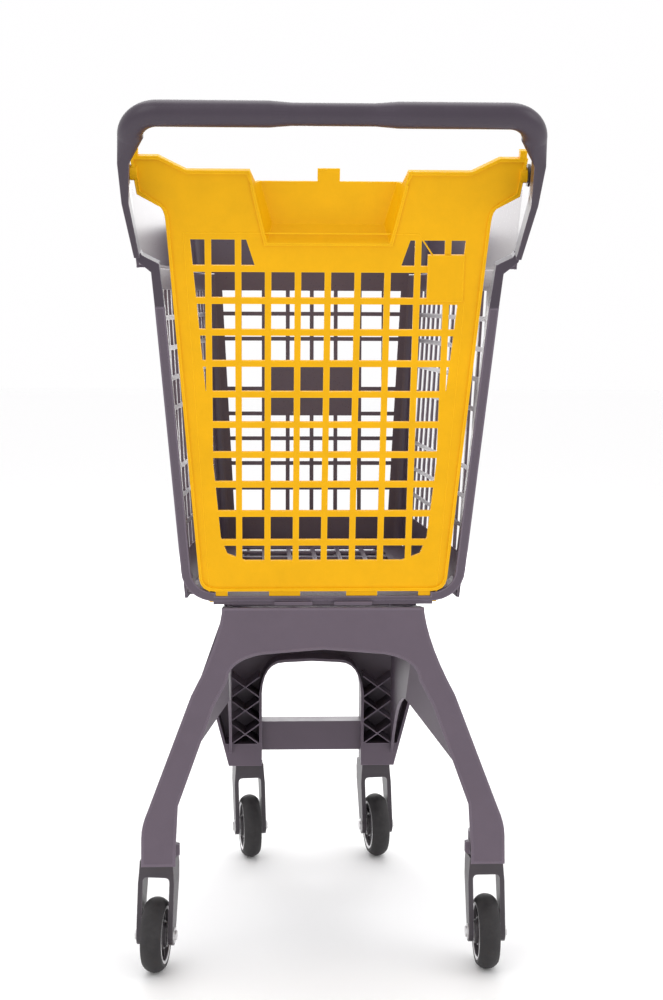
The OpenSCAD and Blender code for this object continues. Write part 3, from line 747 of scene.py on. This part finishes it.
@dataclass
class Caster:
    """The turned and moulded details of one caster.

    Attributes:
        corner: Which caster it is.
        arms: Distance between the fork's outer faces, in millimetres.
        hub_side: Distance from the wheel's middle to the hub's flange.
        hub_radius: The hub's outer radius.
        crown_radius: The radius of the fork's crown.
        ribs: How many ribs each side of the hub has.
    """

    corner: Corner
    arms: float = 46.4
    hub_side: float = 12.0
    hub_radius: float = 36.0
    crown_radius: float = 21.0
    ribs: int = 8

    def build(self) -> None:
        """Makes every detail of the caster."""
        low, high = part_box(f"{self.corner.label}_wheel_hub")
        middle = (low + high) / 2.0
        axle = Matrix.Rotation(math.radians(self.corner.swivel), 3, "Z") @ ACROSS
        for side in Side:
            word = f"{self.corner.label}_{side.name.lower()}"
            self.wheel_side(word, middle, axle * side.value)
            self.washer(word, middle, axle * side.value)
        self.seal()

    def wheel_side(self, word: str, middle: Vector, axle: Vector) -> None:
        """Adds the ring, the ribs and the boss on one side of the wheel; the ring's bright steel is a
        painted highlight on the hub's lip.
        """
        body = f"{self.corner.label}_wheel"
        edge, side = self.hub_radius, self.hub_side
        ring = (
            (edge - 3.6, side - 0.4),
            (edge - 3.3, side + 0.7),
            (edge - 2.4, side + 1.1),
            (edge, side + 0.9),
            (edge + 0.5, side + 0.2),
            (edge, side - 0.4),
        )
        # The hub's lip is shown in bright steel: a painted highlight, not the wheel's own colour.
        Piece(f"{word}_hub_ring", body, Finish.STEEL).lathe(middle, axle, ring, 64).show()
        boss = ((15.2, 5.6), (15.2, 10.4), (15.8, 11.2), (17.4, 11.2), (18.2, 10.2), (18.4, 5.6))
        Piece(f"{word}_hub_boss", body, Finish.HUB).lathe(middle, axle, boss).show()
        rib_middle, rib_foot, first_turn = 24.6, 5.7, 11.0
        ribs = Piece(f"{word}_hub_ribs", body, Finish.HUB)
        for i in range(self.ribs):
            turn = math.radians(360.0 / self.ribs * i + first_turn)
            out = Matrix.Rotation(turn, 3, axle) @ UP
            axes = Matrix((out, axle.cross(out), axle)).transposed()
            ribs.block(middle + MM * (rib_middle * out + rib_foot * axle), axes, (13.6, 2.2, 3.6))
        ribs.show()

    def washer(self, word: str, middle: Vector, axle: Vector) -> None:
        """Adds the washer between the fork and the axle's head."""
        face = self.arms / 2.0
        inner, outer = 6.0, 9.8
        profile = (
            (inner, face - 0.3),
            (inner, face + 1.1),
            (outer - 0.5, face + 1.1),
            (outer, face + 0.7),
            (outer, face - 0.3),
        )
        body = f"{self.corner.label}_caster"
        Piece(f"{word}_axle_washer", body, Finish.STEEL).lathe(middle, axle, profile).show()

    def seal(self) -> None:
        """Adds the dust seal on top of the fork's crown."""
        low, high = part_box(f"{self.corner.label}_kingpin")
        middle = (low + high) / 2.0
        middle.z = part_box(f"{self.corner.label}_fork")[1].z
        edge = self.crown_radius
        profile = (
            (edge - 4.0, -1.2),
            (edge - 4.0, 0.3),
            (edge + 0.9, 0.3),
            (edge + 1.3, -0.2),
            (edge + 0.9, -1.2),
        )
        seal = Piece(f"{self.corner.label}_dust_seal", f"{self.corner.label}_caster", Finish.BLACK)
        seal.lathe(middle, UP, profile).show()


@dataclass
class FlapTrim:
    """The raised lines and the label's frame on the swinging flap.

    Attributes:
        lean: The flap's lean from upright, in degrees.
        lip_depth: How far its raised edge lies behind the hinge bosses, in metres.
        plate_depth: How far the label plate lies behind them.
        panel_depth: How far the panel lies behind them.
        longest_cell: The longest way round one opening of the grid.
        margin: How far outside the openings the step line runs.
    """

    lean: float = 15.2
    lip_depth: float = 0.003
    plate_depth: float = 0.0036
    panel_depth: float = 0.005
    longest_cell: float = 0.2
    margin: float = 0.0075

    def build(self) -> None:
        """Makes every detail of the flap."""
        rear = rearward(self.lean)
        lip = Piece("flap_lip_bead", "flap", Finish.YELLOW)
        for line in outlines("rear_flap", rear, self.lip_depth)[:2]:
            lip.bead(line, 0.001, 0.0009, 0.0005)
        lip.show()
        plate = outlines("rear_flap", rear, self.plate_depth)[0]
        Piece("label_plate_bead", "flap", Finish.YELLOW).bead(plate, 0.0009, 0.001, 0.0005).show()
        self.grid_line(rear)

    def grid_line(self, rear: Vector) -> None:
        """Lays a thin raised line round all the flap's openings.

        Args:
            rear: The direction that the flap's outer face looks in.
        """
        lines = outlines("rear_flap", rear, self.panel_depth)
        flat = [p for line in lines if line.length < self.longest_cell for p in line.points]
        up = rear.cross(ACROSS)
        level = flat[0].dot(rear)
        spots = sorted({(round(p.x, 5), round(p.dot(up), 5)) for p in flat})
        points = [x * ACROSS + s * up + level * rear for x, s in self.wrapped(spots)]
        line = Outline(simplified(points), rear)
        if line.grown(MM).length < line.length:
            line = Outline(line.points[::-1], rear)
        step = Piece("grid_step_line", "flap", Finish.YELLOW)
        step.bead(line.grown(self.margin), 0.0009, 0.0, 0.0004).show()

    @staticmethod
    def wrapped(spots: list[tuple[float, float]]) -> list[tuple[float, float]]:
        """Returns the corners of the smallest convex outline round sorted spots."""

        def half(run: list[tuple[float, float]]) -> list[tuple[float, float]]:
            """Returns one side of the outline."""
            kept: list[tuple[float, float]] = []
            for spot in run:
                while len(kept) > 1:
                    (ax, ay), (bx, by) = kept[-2], kept[-1]
                    if (bx - ax) * (spot[1] - ay) - (by - ay) * (spot[0] - ax) > 1e-9:
                        break
                    kept.pop()
                kept.append(spot)
            return kept

        return half(spots)[:-1] + half(spots[::-1])[:-1]


@dataclass
class ShellTrim:
    """The beads, lugs and caps on the basket and the base.

    Attributes:
        rim_lean: The rear opening's lean from upright, in degrees.
        leg_lean: The rear legs' lean from upright, in degrees.
    """

    rim_lean: float = 15.2
    leg_lean: float = 7.6

    def build(self) -> None:
        """Makes every detail of the shells."""
        rear = rearward(self.rim_lean)
        top = rear.cross(ACROSS)
        top = top if top.z > 0 else -top
        legs = rearward(-self.leg_lean)
        self.edging("rim_edge_bead", "basket_rear_rim", rear, Finish.BASKET, 0.0012)
        self.edging("rim_seam_bead", "basket_rear_rim", top, Finish.BASKET, 0.0006)
        self.edging("rear_leg_bead", "base_rear_frame", legs, Finish.DARK, 0.0022)
        self.edging("front_leg_bead", "base_front_frame", FORWARD, Finish.DARK, 0.0018, 0.001)
        for side in Side:
            self.hinge_cap(side)
            self.foot_lug(side)

    def edging(
        self, name: str, node: str, normal: Vector, finish: Finish, radius: float, depth: float = 0.0
    ) -> None:
        """Lays one bead along the long outlines of a node's flat face.

        Args:
            name: The bead's name.
            node: The CAD node that it follows.
            normal: The direction that the face looks in.
            finish: The finish that the bead shows.
            radius: The bead's radius in metres.
            depth: How far the face lies behind the node's farthest point.
        """
        piece = Piece(name, "trolley", finish)
        for line in outlines(node, normal, depth)[:2]:
            piece.bead(line, radius, 0.8 * radius, 0.7 * radius)
        piece.show()

    def hinge_cap(self, side: Side) -> None:
        """Adds the domed cap on the outside of one hinge bush."""
        word = side.name.lower()
        low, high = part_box(f"{word}_hinge_socket")
        middle = (low + high) / 2.0
        middle.x = high.x if side is Side.RIGHT else low.x
        profile = ((0.2, -1.0), (0.2, 1.1), (5.0, 0.9), (8.2, 0.3), (8.8, -0.2), (8.8, -1.0))
        axis = Vector((side.value, 0.0, 0.0))
        Piece(f"{word}_hinge_cap", "trolley", Finish.BLACK).lathe(middle, axis, profile).show()

    def foot_lug(self, side: Side) -> None:
        """Adds the small lug inside one rear leg's foot."""
        word = side.name.lower()
        low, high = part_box(f"rear_{word}_swivel_bearing")
        middle = (low + high) / 2.0
        middle.z = low.z
        middle += MM * Vector((-20.5 * side.value, -12.0, 12.0))
        axes = Matrix(((0, 0, -side.value), (0, 1, 0), (1, 0, 0)))
        lug = Piece(f"{word}_foot_lug", "trolley", Finish.DARK)
        lug.block(middle, axes, (16.0, 10.0, 6.0)).show()


def slot_finishes() -> dict[str, Finish]:
    """Returns each CAD node's finish, by the record's slots."""
    by_slot = {f.slot: f for f in Finish}
    finishes = {p["node"]: by_slot[p["material_slot"]] for p in frame["record"]["subparts"]}
    finishes["handle_frame"] = Finish.GRIP
    return finishes


def dress_nodes() -> None:
    """Gives every CAD node its slot's material."""
    for node, finish in slot_finishes().items():
        mesh = frame["nodes"][node].data
        mesh.materials.clear()
        mesh.materials.append(finish.material())


def main() -> None:
    """Builds the studio and every piece in order."""
    logging.basicConfig(level=logging.INFO, format="%(name)s: %(message)s")
    Studio().build()
    dress_nodes()
    for corner in Corner:
        Caster(corner).build()
    FlapTrim().build()
    ShellTrim().build()


if __name__ == "__main__":
    main()
